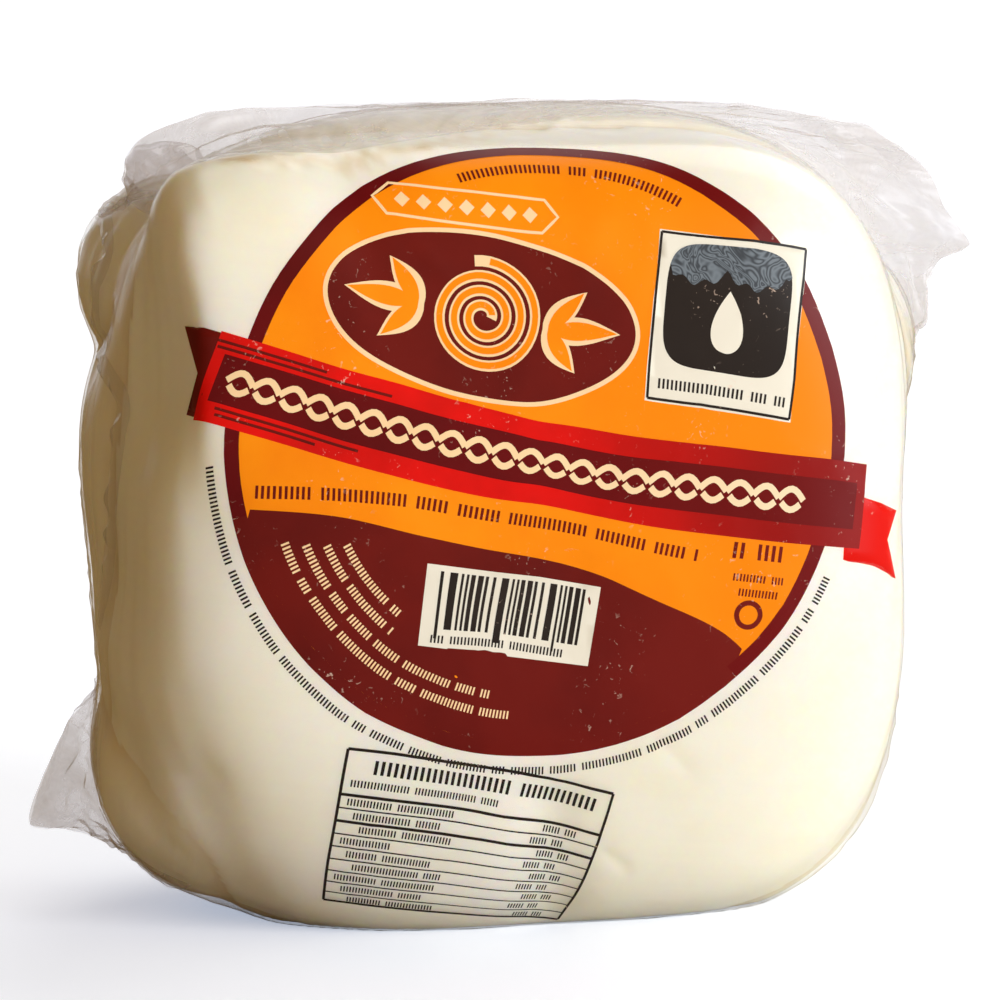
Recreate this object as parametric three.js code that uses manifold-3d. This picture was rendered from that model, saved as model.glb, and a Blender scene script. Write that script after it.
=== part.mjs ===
// A one kilogram ball of Oaxaca cheese, sealed in a clear shrink bag and standing on its lower edge.
// The ball is wound from a ribbon of stretched curd and pressed in a mould: the front face, towards -Y,
// is smooth and nearly flat, while the turns of the ribbon show round the rim and on the back.
// The flat bag was wider than the ball, so its two end seals stand out as thin fins with pointed ears.
// Millimetres, +Z up, origin in the middle of the footprint.

import * as THREE from 'three';
import { mergeVertices } from 'three/addons/utils/BufferGeometryUtils.js';
import Module from 'manifold-3d';

// Driving dimensions of the pressed ball, before it sags onto its foot.
const ball = {
  width: 123.6,
  depth: 73.6,
  height: 127.2,
  sag: 2.4, // how far the weight flattens the foot
  backEdge: 3.1, // how squarely the back turns into the rim
  frontEdge: { foot: 3.3, top: 5.4 }, // the same for the front
  edgeRise: { from: -0.75, to: -0.1 },
  cubeSteps: 24, // facets along each edge of the cube that is blown up into the ball
};
const ballCentre = new THREE.Vector3(-1.7, -1.6, ball.height / 2 - ball.sag);
const halfWidth = ball.width / 2;
const halfDepth = ball.depth / 2;
const halfHeight = ball.height / 2;
const foldDepth = halfDepth * 0.75; // about where the back turns in to the foot

// The four corners seen from the front: a small power gives a rounder corner. The front face has its own,
// because the mould pressed it squarer than the rim.
const corners = [
  { angle: 45, power: 3.4 },
  { angle: 135, power: 3.0 },
  { angle: -135, power: 3.2 },
  { angle: -45, power: 3.85 },
];
const frontCorners = [
  { angle: 45, power: 3.8 },
  { angle: 128, power: 5.8 },
  { angle: -135, power: 3.5 },
  { angle: -45, power: 3.85 },
];
const frontBlend = 0.35;
// The upper left of the face ends in a firmer edge, with a flat flank behind it.
const flank = {
  towards: new THREE.Vector3(-0.936, -0.351, 0),
  away: 62, // from the middle of the ball
  soft: 1, // how far its edges are rounded off
  edge: 8,
  side: { from: 0.4, to: 0.65 }, // it fades in over these ways out, to the left and upwards
  rise: { from: 0.05, to: 0.4 },
};

// Broad swellings of the rim, and hollows where high is below 0.
const swellings = [
  { at: new THREE.Vector3(-63, 0, 15), halfWide: 17, high: 2.2 },
  { at: new THREE.Vector3(-62, 0, 29), halfWide: 7, high: -1.2 },
  { at: new THREE.Vector3(60, -8, 24), halfWide: 10, high: 2.2 },
  { at: new THREE.Vector3(60.5, -8, 4), halfWide: 14, high: -2.6 },
];

// Turns of the ribbon that run round the rim. place is measured from the middle towards the back.
const rimTurns = [
  { place: 1, halfWide: 15, lift: 2.4, wander: 2.5, phase: 0.4 },
  { place: 27, halfWide: 14, lift: 1.8, wander: 2.0, phase: 2.3 },
];

// Turns that cross the back face. angle is the way from one edge of the ribbon to the other.
const backTurns = [
  { angle: 68, place: -40, halfWide: 21, lift: 1.9 },
  { angle: 64, place: -3, halfWide: 20, lift: 2.2 },
  { angle: 70, place: 36, halfWide: 21, lift: 1.8 },
  { angle: -28, place: 14, halfWide: 19, lift: 3.4 },
];
const backFade = { from: 4, to: 30 };

// Where the ribbon doubles back, a loop of it bulges from the rim.
const loops = [
  { at: [-50, 9, 39.5], radii: [15.6, 22, 16] },
  { at: [-44, 1, -35.5], radii: [22, 28.5, 23] },
  { at: [44, 15, -18], radii: [20, 18, 26] },
  { at: [41, 6, 27], radii: [28.2, 29, 23] },
];

// The loose film, seen from the front as x and z from the middle of the ball: each fin spans from a root
// that lies inside the ball to its outline.
const topSeal = {
  outline: [
    [-56, 49], [-60.5, 57], [-57, 62.5], [-46, 65.5], [-28, 66.8], [-8, 67.2], [16, 67.2], [36, 66.6],
    [48, 65], [60, 62], [67, 58], [73, 51.8], [77.5, 42.8], [72.7, 39.3], [70.6, 32.8], [63, 26],
  ],
  root: [[-40, 34], [-36, 44], [-18, 50], [14, 52], [36, 48], [48, 38], [51, 24]],
  depth: -3,
  lean: 5,
  ripple: { tall: 1.6, waves: 5 },
  steps: { along: 52, out: 4 },
};
const lowerEar = {
  outline: [[-55, -54], [-62, -52], [-68, -49.7], [-74, -48.7], [-71.5, -41], [-67, -31], [-58, -23]],
  root: [[-42, -44], [-50, -34], [-44, -20]],
  depth: 11,
  lean: 3,
  ripple: { tall: 1.2, waves: 2 },
  steps: { along: 14, out: 4 },
};
// The lower end seal is folded up against the back: its fold is sunk into the ball, its free edge is not.
const lowerSeal = {
  halfLength: 55,
  foldHeight: -46,
  rise: 13,
  sunk: 5,
  proud: 6.2,
  ripple: { tall: 0.7, waves: 6 },
  steps: { along: 30, out: 4 },
};
const finThickness = 0.9;
const curveTension = 0.35;
const grazing = 0.3; // directions that run almost along the flank never meet it
const sliver = 0.03;

// The number that says how square the outline is, blended between the four corners.
function outlinePower(direction, from) {
  const angle = Math.atan2(direction.z, direction.x);
  let power = 0;
  for (const corner of from) {
    const near = Math.max(0, Math.cos(angle - THREE.MathUtils.degToRad(corner.angle)));
    power += corner.power * near * near;
  }
  return power;
}

// 1 on the flank, 0 away from it.
function flankShare(direction) {
  if (direction.y > 0) return 0;
  return THREE.MathUtils.smoothstep(-direction.x, flank.side.from, flank.side.to)
    * THREE.MathUtils.smoothstep(direction.z, flank.rise.from, flank.rise.to);
}

function edgePower(direction) {
  if (direction.y > 0) return ball.backEdge;
  const rise = THREE.MathUtils.smoothstep(direction.z, ball.edgeRise.from, ball.edgeRise.to);
  const plain = THREE.MathUtils.lerp(ball.frontEdge.foot, ball.frontEdge.top, rise);
  return THREE.MathUtils.lerp(plain, flank.edge, flankShare(direction));
}

// Distance from the middle to a smooth rounded slab.
function slabRadius(direction) {
  const onFront = THREE.MathUtils.smoothstep(-direction.y, 0, frontBlend);
  const rimPower = outlinePower(direction, corners);
  const power = THREE.MathUtils.lerp(rimPower, outlinePower(direction, frontCorners), onFront);
  const edge = edgePower(direction);
  const sideways = (Math.abs(direction.x) / halfWidth) ** power;
  const upright = (Math.abs(direction.z) / halfHeight) ** power;
  const through = (Math.abs(direction.y) / halfDepth) ** edge;
  let radius = ((sideways + upright) ** (edge / power) + through) ** (-1 / edge);
  const plane = flank.away / Math.max(grazing, direction.dot(flank.towards));
  radius -= flankShare(direction) * flank.soft * Math.log1p(Math.exp((radius - plane) / flank.soft));
  for (const { at, halfWide, high } of swellings) {
    const away = direction.clone().multiplyScalar(radius).distanceTo(at);
    radius += high * Math.exp(-((away / halfWide) ** 2));
  }
  return radius;
}

// A turn of ribbon has a rounded crown that drops to nothing at its edges.
function crown(distance, turn) {
  return turn.lift * (1 - (distance / turn.halfWide) ** 4);
}

function ribbonLift(point) {
  const around = Math.atan2(point.z, point.x);
  let lift = 0;
  for (const turn of rimTurns) {
    const place = turn.place + turn.wander * Math.sin(2 * around + turn.phase);
    lift = Math.max(lift, crown(point.y - place, turn));
  }
  const onBack = THREE.MathUtils.smoothstep(point.y, backFade.from, backFade.to);
  for (const turn of backTurns) {
    const angle = THREE.MathUtils.degToRad(turn.angle);
    const across = point.x * Math.cos(angle) + point.z * Math.sin(angle);
    lift = Math.max(lift, onBack * crown(across - turn.place, turn));
  }
  return lift;
}

// Distance from the middle of the ball to the far side of a loop, or 0 where the loop isn't met.
function loopRadius(direction, loop) {
  const [rx, ry, rz] = loop.radii;
  const d = new THREE.Vector3(direction.x / rx, direction.y / ry, direction.z / rz);
  const c = new THREE.Vector3(loop.at[0] / rx, loop.at[1] / ry, loop.at[2] / rz);
  const along = d.dot(c);
  const square = along * along - d.lengthSq() * (c.lengthSq() - 1);
  return square < 0 ? 0 : (along + Math.sqrt(square)) / d.lengthSq();
}

function ballPoint(direction) {
  const smooth = slabRadius(direction);
  let radius = smooth + ribbonLift(direction.clone().multiplyScalar(smooth));
  for (const loop of loops) radius = Math.max(radius, loopRadius(direction, loop));
  const point = direction.clone().multiplyScalar(radius).add(ballCentre);
  point.z = Math.max(0, point.z);
  return point;
}

// A finely divided cube whose points are moved out onto the ball.
function ballGeometry() {
  const steps = ball.cubeSteps;
  const box = new THREE.BoxGeometry(2, 2, 2, steps, steps, steps);
  box.deleteAttribute('normal');
  box.deleteAttribute('uv');
  const geometry = mergeVertices(box, 1e-4);
  const position = geometry.getAttribute('position');
  const corner = new THREE.Vector3();
  for (let i = 0; i < position.count; i++) {
    corner.fromBufferAttribute(position, i);
    const evenly = corner.toArray().map((share) => Math.tan(share * Math.PI / 4));
    const point = ballPoint(corner.fromArray(evenly).normalize());
    position.setXYZ(i, point.x, point.y, point.z);
  }
  return geometry;
}

// A thin closed sheet. pointAt(along, out) gives its middle surface, and its thickness lies along Y.
function sheetGeometry(pointAt, steps) {
  const { along, out } = steps;
  const positions = [];
  const faces = [];
  const row = out + 1;
  const layer = (along + 1) * row;
  for (const side of [-0.5, 0.5]) {
    for (let i = 0; i <= along; i++) {
      for (let j = 0; j <= out; j++) {
        const point = pointAt(i / along, j / out);
        positions.push(point.x, point.y + side * finThickness, point.z);
      }
    }
  }
  const quad = (a, b, c, d) => faces.push(a, c, b, a, d, c);
  for (let i = 0; i < along; i++) {
    for (let j = 0; j < out; j++) {
      const near = i * row + j;
      quad(near, near + 1, near + row + 1, near + row);
      quad(layer + near, layer + near + row, layer + near + row + 1, layer + near + 1);
    }
    const root = i * row;
    const rim = root + out;
    quad(root, root + row, layer + root + row, layer + root);
    quad(rim, layer + rim, layer + rim + row, rim + row);
  }
  for (let j = 0; j < out; j++) {
    const end = along * row + j;
    quad(j, layer + j, layer + j + 1, j + 1);
    quad(end, end + 1, layer + end + 1, layer + end);
  }
  const geometry = new THREE.BufferGeometry();
  geometry.setAttribute('position', new THREE.Float32BufferAttribute(positions, 3));
  geometry.setIndex(faces);
  return geometry;
}

function curveThrough(points) {
  const onPlane = points.map(([x, z]) => new THREE.Vector3(x, 0, z));
  return new THREE.CatmullRomCurve3(onPlane, false, 'catmullrom', curveTension);
}

function finGeometry(fin) {
  const outline = curveThrough(fin.outline);
  const root = curveThrough(fin.root);
  return sheetGeometry((along, out) => {
    const point = root.getPoint(along).lerp(outline.getPoint(along), out);
    const ripple = fin.ripple.tall * out * Math.sin(2 * Math.PI * fin.ripple.waves * along);
    point.y = fin.depth + fin.lean * out * out + ripple;
    return point.add(ballCentre);
  }, fin.steps);
}

function lowerSealGeometry() {
  return sheetGeometry((along, out) => {
    const x = THREE.MathUtils.lerp(-lowerSeal.halfLength, lowerSeal.halfLength, along);
    const z = lowerSeal.foldHeight + lowerSeal.rise * out;
    const towardsFold = new THREE.Vector3(x, foldDepth, lowerSeal.foldHeight).normalize();
    const surface = ballPoint(towardsFold).y - ballCentre.y;
    const ripple = lowerSeal.ripple.tall * out * Math.sin(2 * Math.PI * lowerSeal.ripple.waves * along);
    const y = THREE.MathUtils.lerp(surface - lowerSeal.sunk, surface + lowerSeal.proud, out) + ripple;
    return new THREE.Vector3(x, y, z).add(ballCentre);
  }, lowerSeal.steps);
}

const wasm = await Module();
wasm.setup();

function toSolid(geometry) {
  return new wasm.Manifold(new wasm.Mesh({
    numProp: 3,
    vertProperties: new Float32Array(geometry.getAttribute('position').array),
    triVerts: new Uint32Array(geometry.index.array),
  }));
}

// Where sheets cut the ball they leave slivers, which are taken out here.
function toGeometry(solid) {
  const mesh = solid.simplify(sliver).getMesh();
  const geometry = new THREE.BufferGeometry();
  geometry.setAttribute('position', new THREE.BufferAttribute(mesh.vertProperties, 3));
  geometry.setIndex(new THREE.BufferAttribute(mesh.triVerts, 1));
  geometry.computeVertexNormals();
  return geometry;
}

const pack = toSolid(ballGeometry())
  .add(toSolid(finGeometry(topSeal)))
  .add(toSolid(finGeometry(lowerEar)))
  .add(toSolid(lowerSealGeometry()));

const sealedBag = new THREE.Mesh(
  toGeometry(pack),
  new THREE.MeshStandardMaterial({ color: 0xf3efda, roughness: 0.3, metalness: 0 }),
);
sealedBag.name = 'sealed_bag';

const part = new THREE.Group();
part.add(sealedBag);

export default part;
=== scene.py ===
# A one kilogram ball of Oaxaca cheese in a clear shrink bag, with a round label printed on the film.
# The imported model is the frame; here the cheese, the film and the print get their looks.
import math

import bpy
import numpy as np
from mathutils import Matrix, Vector, geometry, noise


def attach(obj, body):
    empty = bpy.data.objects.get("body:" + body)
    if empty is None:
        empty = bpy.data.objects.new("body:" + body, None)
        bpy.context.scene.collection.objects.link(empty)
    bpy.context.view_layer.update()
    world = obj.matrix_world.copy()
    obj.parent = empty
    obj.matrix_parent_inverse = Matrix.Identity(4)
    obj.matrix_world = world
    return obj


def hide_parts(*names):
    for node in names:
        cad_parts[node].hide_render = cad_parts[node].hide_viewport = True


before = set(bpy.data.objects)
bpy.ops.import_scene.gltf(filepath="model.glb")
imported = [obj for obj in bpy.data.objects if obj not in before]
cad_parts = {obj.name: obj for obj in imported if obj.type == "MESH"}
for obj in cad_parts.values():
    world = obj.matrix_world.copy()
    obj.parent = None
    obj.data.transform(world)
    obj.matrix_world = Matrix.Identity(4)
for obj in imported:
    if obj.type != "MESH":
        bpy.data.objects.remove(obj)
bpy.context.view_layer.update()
mm = 0.001
print("frame loaded")


def toLinear(colour):
    channels = [int(colour[i:i + 2], 16) / 255 for i in (1, 3, 5)]
    return [c / 12.92 if c <= 0.04045 else ((c + 0.055) / 1.055) ** 2.4 for c in channels] + [1]


# inputs gives each socket, by name or number, a value or what feeds it: an output, or a node for its first
def addNode(tree, kind, inputs=None, **settings):
    node = tree.nodes.new(kind)
    for name, value in settings.items():
        setattr(node, name, value)
    for socket, value in (inputs or {}).items():
        if isinstance(value, bpy.types.Node):
            value = value.outputs[0]
        if isinstance(value, bpy.types.NodeSocket):
            tree.links.new(value, node.inputs[socket])
        else:
            node.inputs[socket].default_value = value
    return node


def newMaterial(name):
    material = bpy.data.materials.new(name)
    material.use_nodes = True
    material.node_tree.nodes.clear()
    return material, material.node_tree


def addPiece(name, points, faces, material):
    mesh = bpy.data.meshes.new(name)
    mesh.from_pydata((np.asarray(points) * mm).tolist(), [], faces)
    mesh.polygons.foreach_set("use_smooth", [True] * len(mesh.polygons))
    mesh.materials.append(material)
    mesh.update()
    piece = bpy.data.objects.new(name, mesh)
    bpy.context.scene.collection.objects.link(piece)
    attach(piece, "root")
    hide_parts("sealed_bag")
    return piece


def noiseAt(points, size, seed):
    shifted = np.asarray(points) / size + seed * 17.31
    return np.array([noise.noise(p) for p in shifted.tolist()])


def smoothStep(value, low, high):
    share = np.clip((value - low) / (high - low), 0, 1)
    return share * share * (3 - 2 * share)


# 0 to 1 to 0 in straight lines, like a pleat
def pleat(value):
    return 1 - np.abs(2 * (value - np.floor(value)) - 1)


def unit(vectors):
    return vectors / np.linalg.norm(vectors, axis=-1, keepdims=True)


# the way walked along a path, at each of its points
def walkedAlong(path):
    return np.concatenate([[0], np.cumsum(np.linalg.norm(np.diff(path, axis=0), axis=1))])


# a smooth curve through points, as many samples as asked for
def curveThrough(points, count, slack=0.35):
    points = np.asarray(points, dtype=float)
    padded = np.vstack([2 * points[0] - points[1], points, 2 * points[-1] - points[-2]])
    place = np.linspace(0, len(points) - 1, count)
    i = np.minimum(place.astype(int), len(points) - 2)
    t = (place - i)[:, None]
    a, b = padded[i + 1], padded[i + 2]
    ta, tb = slack * (padded[i + 2] - padded[i]), slack * (padded[i + 3] - padded[i + 1])
    return ((2 * t ** 3 - 3 * t ** 2 + 1) * a + (t ** 3 - 2 * t ** 2 + t) * ta
            + (3 * t ** 2 - 2 * t ** 3) * b + (t ** 3 - t ** 2) * tb)


# The pressed ball, in mm from its middle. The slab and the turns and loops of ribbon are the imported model's,
# with the lower left loop 0.8 mm further in. The fine unevenness, the drape and the hollows are only here.
ball = {
    "middle": (-1.7, -1.6, 61.2),
    "half": (61.8, 36.8, 63.6),
    "backEdge": 3.1,  # how squarely the back turns into the rim
    "frontEdge": (3.3, 5.4),  # the same for the front, at the foot and at the top
    "edgeRise": (-0.75, -0.1),
    "corners": [(45, 3.4), (135, 3.0), (-135, 3.2), (-45, 3.85)],  # angle, how squarely the outline turns
    "frontCorners": [(45, 3.8), (128, 5.8), (-135, 3.5), (-45, 3.85)],  # the same for the front face
    "frontBlend": 0.35,
    # the upper left of the face ends in a firmer edge, with a flat flank behind it
    "flank": {
        "towards": (-0.936, -0.351), "away": 62, "soft": 1.0, "edge": 8,
        "side": (0.4, 0.65), "rise": (0.05, 0.4),
    },
    # broad swellings and, where high is below 0, hollows of the rim: middle, half width, high
    "swellings": [
        ((-63, 0, 15), 17, 2.2), ((-62, 0, 29), 7, -1.2), ((60, -8, 24), 10, 2.2), ((60.5, -8, 4), 14, -2.6),
    ],
    # turns of ribbon round the rim: place, half width, lift, wander, phase
    "rimTurns": [(1, 15, 2.4, 2.5, 0.4), (27, 14, 1.8, 2.0, 2.3)],
    # turns across the back: angle, place, half width, lift
    "backTurns": [(68, -40, 21, 1.9), (64, -3, 20, 2.2), (70, 36, 21, 1.8), (-28, 14, 19, 3.4)],
    "backFade": (4, 30),
    "sunk": 9,  # how far under the slab a turn of ribbon lies where it doesn't show
    # loops where the ribbon doubles back: middle, radii
    "loops": [((-50, 9, 39.5), (15.6, 22, 16)), ((-43.2, 1, -35.5), (22, 28.5, 23)),
              ((44, 15, -18), (20, 18, 26)), ((41, 6, 27), (28.2, 29, 23))],
    "swell": 0.4,  # soft unevenness of the pressed skin
    "swellSize": 26,
    # upright folds down the two sides, where the film pulls the skin: broad ones, fine ones and their share
    "drape": {"high": 0.7, "broad": (30, 6, 42), "fine": (30, 2.4, 26), "fineShare": 0.4, "side": (46, 58)},
    # soft hollows along a line, and ridges where deep is below 0: start, end, half width, deep
    "hollows": [
        ((-53.6, -30.5, -20), (-51.6, -28.4, -33), 3.4, 0.25),
        ((-51.6, -28.4, -33), (-46, -21.4, -51), 4.2, 0.5),
        ((-62, -15, -19), (-60.5, -14, -38), 10.5, -3.0),
        ((-62.5, -11, -19), (-60, -19, -35), 3.4, 0.5),
        ((-54, -24, 57), (-55, -29, 47), 7.5, -2.7),
        ((-50.8, -27.8, 58.2), (-50.2, -32.9, 53.7), 1.3, -0.35),
        ((1, -32, -40), (3.2, -26.7, -58), 5.5, 1.3),
        ((14, -30.5, -50.5), (10.5, -31.5, -47.5), 1.0, 0.3),
        ((17.5, -36, -28.6), (23, -35.4, -34.2), 0.9, 0.22),
    ],
}
middle = np.array(ball["middle"])
halfWidth, halfDepth, halfHeight = ball["half"]
meanRadius = 60  # the ball on which patterns are laid out


# distances from the middle to the plain pressed slab and to each turn and loop of ribbon over it
def ribbonSurfaces(directions):
    x, y, z = directions.T
    angle = np.arctan2(z, x)
    power, frontPower = (
        sum(p * np.maximum(0, np.cos(angle - math.radians(a))) ** 2 for a, p in ball[corners])
        for corners in ("corners", "frontCorners"))
    power = power + (frontPower - power) * smoothStep(-y, 0, ball["frontBlend"])
    outline = (np.abs(x) / halfWidth) ** power + (np.abs(z) / halfHeight) ** power
    low, high = ball["frontEdge"]
    edge = np.where(y < 0, low + (high - low) * smoothStep(z, *ball["edgeRise"]), ball["backEdge"])
    flank = ball["flank"]
    onFlank = (y < 0) * smoothStep(-x, *flank["side"]) * smoothStep(z, *flank["rise"])
    edge = edge + (flank["edge"] - edge) * onFlank
    slab = (outline ** (edge / power) + (np.abs(y) / halfDepth) ** edge) ** (-1 / edge)
    soft = flank["soft"]
    plane = flank["away"] / np.maximum(0.3, x * flank["towards"][0] + y * flank["towards"][1])
    slab = slab - onFlank * soft * np.log1p(np.exp((slab - plane) / soft))
    for at, wide, high in ball["swellings"]:
        away = np.linalg.norm(directions * slab[:, None] - at, axis=1)
        slab = slab + high * np.exp(-(away / wide) ** 2)
    surfaces = [slab]
    sunk = ball["sunk"]
    point = directions * slab[:, None]
    for place, wide, lift, wander, phase in ball["rimTurns"]:
        across = point[:, 1] - place - wander * np.sin(2 * angle + phase)
        surfaces.append(slab + np.maximum(-sunk, lift * (1 - (across / wide) ** 4)))
    onBack = smoothStep(point[:, 1], *ball["backFade"])
    for turn, place, wide, lift in ball["backTurns"]:
        turn = math.radians(turn)
        across = point[:, 0] * math.cos(turn) + point[:, 2] * math.sin(turn) - place
        height = np.maximum(-sunk, lift * (1 - (across / wide) ** 4))
        surfaces.append(slab + np.where(onBack > 0, onBack * height - sunk * (1 - onBack) ** 6, -sunk))
    for at, radii in ball["loops"]:
        d = directions / radii
        c = np.array(at) / radii
        along = d @ c
        square = along ** 2 - (d ** 2).sum(1) * (c @ c - 1)
        met = (along + np.sqrt(np.maximum(square, 0))) / (d ** 2).sum(1)
        surfaces.append(np.where(square > 0, met, slab - sunk))
    return np.array(surfaces)


# the skin over all of them: bridge says in mm how far it spans the grooves between turns
def skinRadius(directions, bridge, surfaces=None):
    surfaces = ribbonSurfaces(directions) if surfaces is None else surfaces
    top = surfaces.max(0)
    point = directions * top[:, None]
    drape = ball["drape"]
    folds = noiseAt(point, drape["broad"], 4) + drape["fineShare"] * noiseAt(point, drape["fine"], 14)
    swell = ball["swell"] * noiseAt(directions * meanRadius, ball["swellSize"], 1)
    swell += drape["high"] * folds * smoothStep(np.abs(point[:, 0]), *drape["side"])
    for start, end, wide, deep in ball["hollows"]:
        line = np.subtract(end, start)
        share = np.clip((point - start) @ line / (line @ line), 0, 1)
        away = np.linalg.norm(point - start - share[:, None] * line, axis=1)
        swell -= deep * np.exp(-(away / wide) ** 2)
    return top + bridge * np.log(np.exp((surfaces - top) / bridge).sum(0)) + swell


# faces of a sheet whose points lie in rows
def gridFaces(rows, columns):
    i, j = (g.ravel() for g in np.meshgrid(np.arange(rows - 1), np.arange(columns - 1), indexing="ij"))
    first = i * columns + j
    return np.column_stack([first, first + columns, first + columns + 1, first + 1])


# a cube blown up into a ball, so that its faces are all about one size
def blownCube(steps):
    line = np.tan(np.linspace(-1, 1, steps + 1) * math.pi / 4)
    a, b = (g.ravel() for g in np.meshgrid(line, line, indexing="ij"))
    one = np.ones_like(a)
    sides = [(one, a, b), (-one, b, a), (b, one, a), (a, -one, b), (a, b, one), (b, a, -one)]
    points = np.concatenate([np.column_stack(side) for side in sides])
    quads = gridFaces(steps + 1, steps + 1)
    quads = np.concatenate([quads + side * (steps + 1) ** 2 for side in range(6)])
    points, place = np.unique(points.round(6), axis=0, return_inverse=True)
    return unit(points), place.ravel()[quads]


# Pasta filata: stretched curd, pressed while warm. Moist and dense, so light goes a few mm into it, and
# its skin shows the threads of the stretched curd as a faint grain along the ribbon. Sizes are in mm.
cheeseLook = {
    "cream": "#fbfaf3",
    "butter": "#f6f2e0",
    # painted shade: the colour the skin is mixed towards in its grooves and along the top edge
    "groove": "#cfb279",
    "threadWide": 1.4,  # real threads are nearer 0.5 mm, too fine to show
    "threadLong": 26,
    "threadTone": (0.9, 1.04),
    "patch": 30,
    "patchEdge": (0.38, 0.72),
    "patchMost": 0.75,
    "grain": 4.5,
    "grainShare": 0.35,
    "relief": 0.5,
    "lightDepth": 5,
    "lightColour": (1.0, 0.7, 0.3),  # red goes deepest, so the half shade is warm
}


def cheeseMaterial():
    look = cheeseLook
    material, tree = newMaterial("pastaFilataCheese")
    ribbon = addNode(tree, "ShaderNodeAttribute", attribute_name="ribbon").outputs["Vector"]
    depth = addNode(tree, "ShaderNodeAttribute", attribute_name="paintedShade").outputs["Fac"]
    show = addNode(tree, "ShaderNodeAttribute", attribute_name="threadShow").outputs["Fac"]
    where = addNode(tree, "ShaderNodeTexCoord").outputs["Object"]
    stretch = addNode(tree, "ShaderNodeVectorMath", {
        0: ribbon, 1: (1 / look["threadLong"], 1 / look["threadWide"], 0)}, operation="MULTIPLY")
    threads = addNode(tree, "ShaderNodeTexNoise", {
        "Vector": stretch, "Scale": 1, "Detail": 3, "Roughness": 0.6})
    patches = addNode(tree, "ShaderNodeTexNoise", {
        "Vector": where, "Scale": 1 / (look["patch"] * mm), "Detail": 4, "Roughness": 0.55})
    grain = addNode(tree, "ShaderNodeTexNoise", {
        "Vector": where, "Scale": 1 / (look["grain"] * mm), "Detail": 3})
    low, high = look["patchEdge"]
    warmth = addNode(tree, "ShaderNodeMapRange", {
        "Value": patches, "From Min": low, "From Max": high, "To Max": look["patchMost"]})
    plain = addNode(tree, "ShaderNodeMix", {
        0: warmth, 6: toLinear(look["cream"]), 7: toLinear(look["butter"])}, data_type="RGBA").outputs[2]
    low, high = look["threadTone"]
    threadTone = addNode(tree, "ShaderNodeMapRange", {
        "Value": threads, "From Min": 0.3, "From Max": 0.7, "To Min": low, "To Max": high})
    threadMix = addNode(tree, "ShaderNodeMix", {0: show, 2: 1.0, 3: threadTone})
    toned = addNode(tree, "ShaderNodeVectorMath", {0: plain, "Scale": threadMix}, operation="SCALE")
    # painted shade: darker towards the groove colour in the grooves between turns of ribbon and along the top
    # edge
    deep = addNode(tree, "ShaderNodeMix", {
        0: depth, 6: toned, 7: toLinear(look["groove"])}, data_type="RGBA").outputs[2]
    threadHeight = addNode(tree, "ShaderNodeMath", {0: threads, 1: show}, operation="MULTIPLY")
    height = addNode(tree, "ShaderNodeMath", {
        0: grain, 1: look["grainShare"], 2: threadHeight}, operation="MULTIPLY_ADD")
    bump = addNode(tree, "ShaderNodeBump", {
        "Height": height, "Strength": 0.5, "Distance": look["relief"] * mm})
    surface = addNode(tree, "ShaderNodeBsdfPrincipled", {
        "Base Color": deep,
        "Roughness": 0.48,
        "IOR": 1.44,  # milk fat and water
        "Normal": bump,
        "Subsurface Weight": 0.7,
        "Subsurface Radius": look["lightColour"],
        "Subsurface Scale": look["lightDepth"] * mm,
    })
    addNode(tree, "ShaderNodeOutputMaterial", {"Surface": surface})
    return material


# Multilayer LDPE and PVDC shrink film, blown and 0.06 mm thick. Clear and glossy where it clings;
# where it stands loose it is milky from its own creases and from the moisture inside.
filmLook = {
    "milk": "#f6f3f4",
    "streak": 16,  # mm, as are the next two
    "waves": 5,
    "waveHigh": 0.1,
    "faceOnGloss": 0.045,
    # each finish: tint, milkiness, roughness, gloss at a grazing angle, much of which milky film has lost
    "shrinkFilmClinging": ("#fefefd", 0.008, 0.22, 0.9),
    "shrinkFilmPuckered": ("#f3f2f3", 0.06, 0.22, 0.9),
    "shrinkFilmDoubled": ("#f3f2f3", 0.14, 0.22, 0.4),
    "shrinkFilmLoose": ("#f3f2f3", 0.2, 0.5, 0.4),
}


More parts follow.
